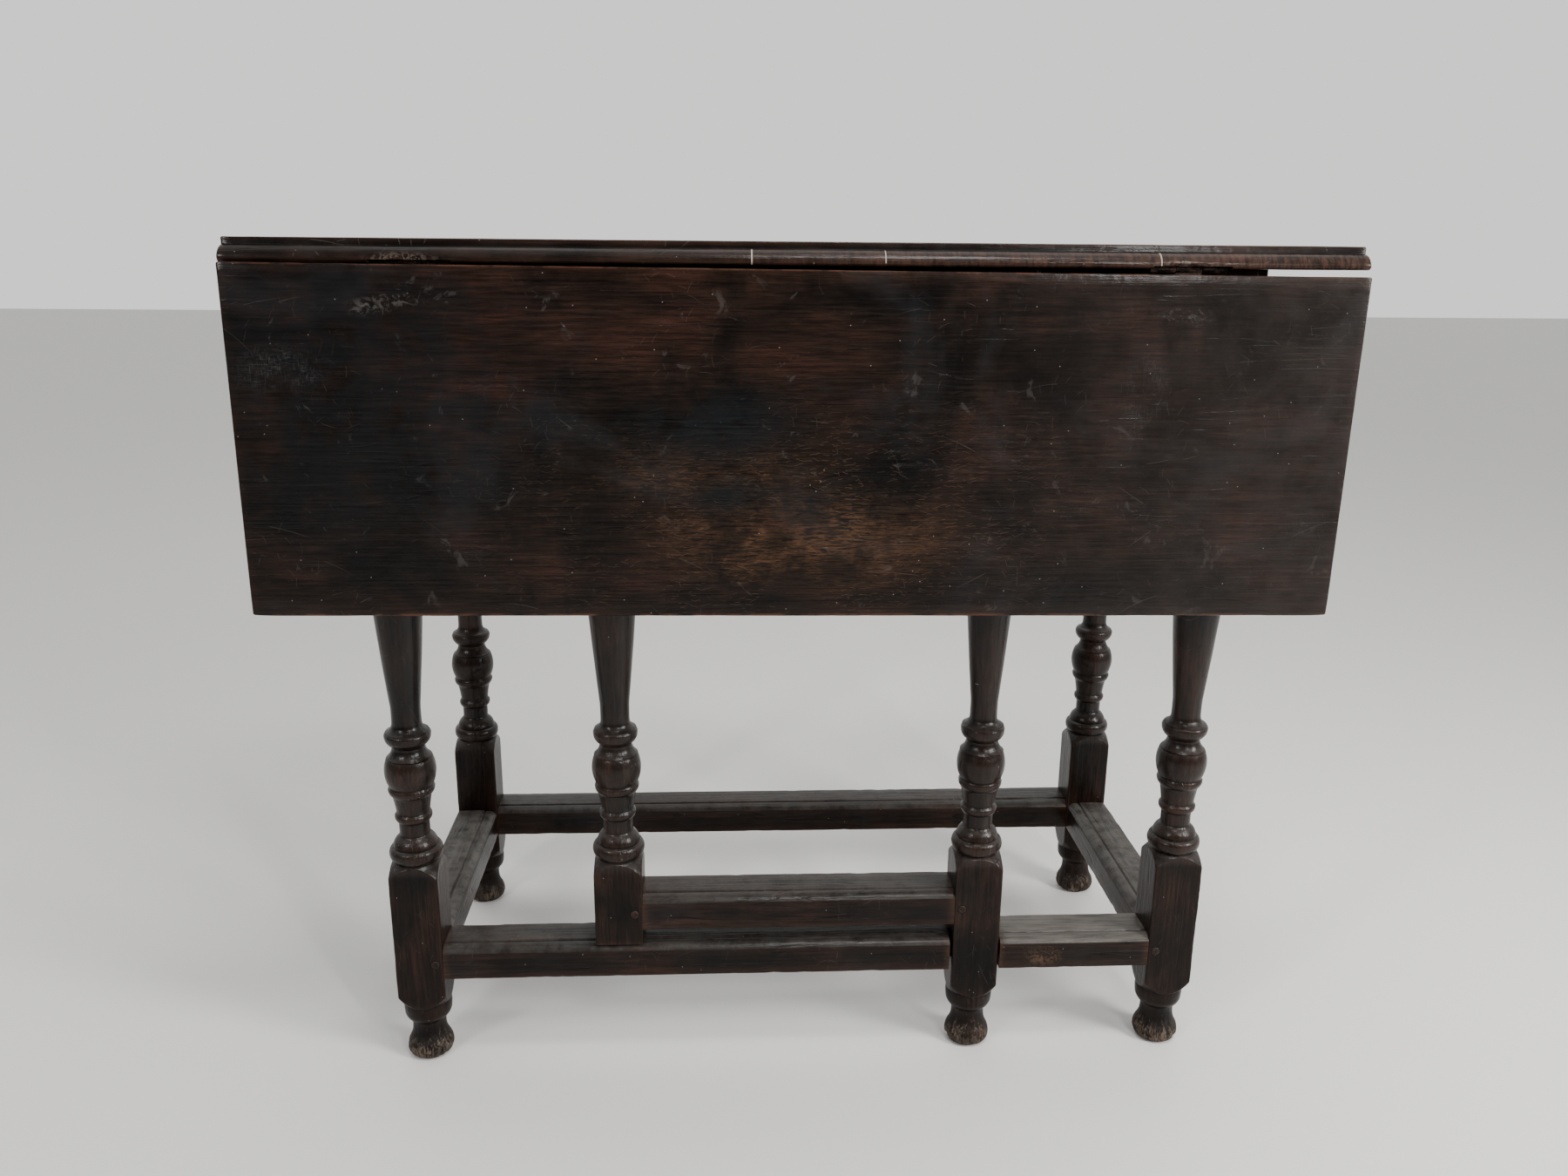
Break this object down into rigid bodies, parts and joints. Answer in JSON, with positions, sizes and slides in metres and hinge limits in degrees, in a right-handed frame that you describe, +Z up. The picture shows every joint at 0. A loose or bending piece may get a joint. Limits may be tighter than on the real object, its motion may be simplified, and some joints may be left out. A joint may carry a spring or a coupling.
{
  "type": "gate-leg table",
  "caption": "Narrow dark oak side table with baluster-turned legs, low moulded stretchers, one drop leaf on a rule joint and a swinging gate leg behind it.",
  "frame": {"origin": "on the floor, under the centre of the closed table's bounding box", "axes": "+X along the table's length, +Y from the hanging leaf towards the back edge, +Z up"},
  "size_m": [0.8606, 0.382, 0.72],
  "materials": {
    "oak": "satin",
    "oak_top": "satin",
    "peg": "matte",
    "iron": "matte"
  },
  "bodies": {
    "frame": {"front_left_leg": "oak", "front_right_leg": "oak", "back_left_leg": "oak", "back_right_leg": "oak", "front_stretcher": "oak", "front_apron": "oak", "back_stretcher": "oak", "back_apron": "oak", "left_stretcher": "oak", "left_apron": "oak", "right_stretcher": "oak", "right_apron": "oak", "front_stretcher_peg_1": "peg", "front_stretcher_peg_2": "peg", "front_apron_peg_1": "peg", "front_apron_peg_2": "peg", "back_stretcher_peg_1": "peg", "back_stretcher_peg_2": "peg", "back_apron_peg_1": "peg", "back_apron_peg_2": "peg", "left_stretcher_peg_1": "peg", "left_stretcher_peg_2": "peg", "left_apron_peg_1": "peg", "left_apron_peg_2": "peg", "right_stretcher_peg_1": "peg", "right_stretcher_peg_2": "peg", "right_apron_peg_1": "peg", "right_apron_peg_2": "peg", "fixed_top": "oak_top", "top_peg_1": "peg", "top_peg_2": "peg", "top_peg_3": "peg", "top_peg_4": "peg", "left_hinge_top_plate": "iron", "left_hinge_pin": "iron", "left_hinge_top_nail_1": "iron", "left_hinge_top_nail_2": "iron", "right_hinge_top_plate": "iron", "right_hinge_pin": "iron", "right_hinge_top_nail_1": "iron", "right_hinge_top_nail_2": "iron"},
    "gate": {"gate_post": "oak", "gate_leg": "oak", "gate_lower_rail": "oak", "gate_upper_rail": "oak", "gate_lower_rail_peg_1": "peg", "gate_lower_rail_peg_2": "peg", "gate_upper_rail_peg_1": "peg", "gate_upper_rail_peg_2": "peg"},
    "leaf": {"drop_leaf": "oak_top", "left_hinge_leaf_plate": "iron", "left_hinge_leaf_nail_1": "iron", "left_hinge_leaf_nail_2": "iron", "right_hinge_leaf_plate": "iron", "right_hinge_leaf_nail_1": "iron", "right_hinge_leaf_nail_2": "iron"}
  },
  "joints": [
    {"name": "leaf_fold", "type": "hinge", "parent": "frame", "child": "leaf", "pos_m": [0, -0.1735, 0.7025], "axis": [-1, 0, 0], "range_deg": [0, 90]},
    {"name": "gate_swing", "type": "hinge", "parent": "frame", "child": "gate", "pos_m": [-0.1569, -0.1325, 0.1], "axis": [0, 0, -1], "range_deg": [0, 2.8]}
  ]
}
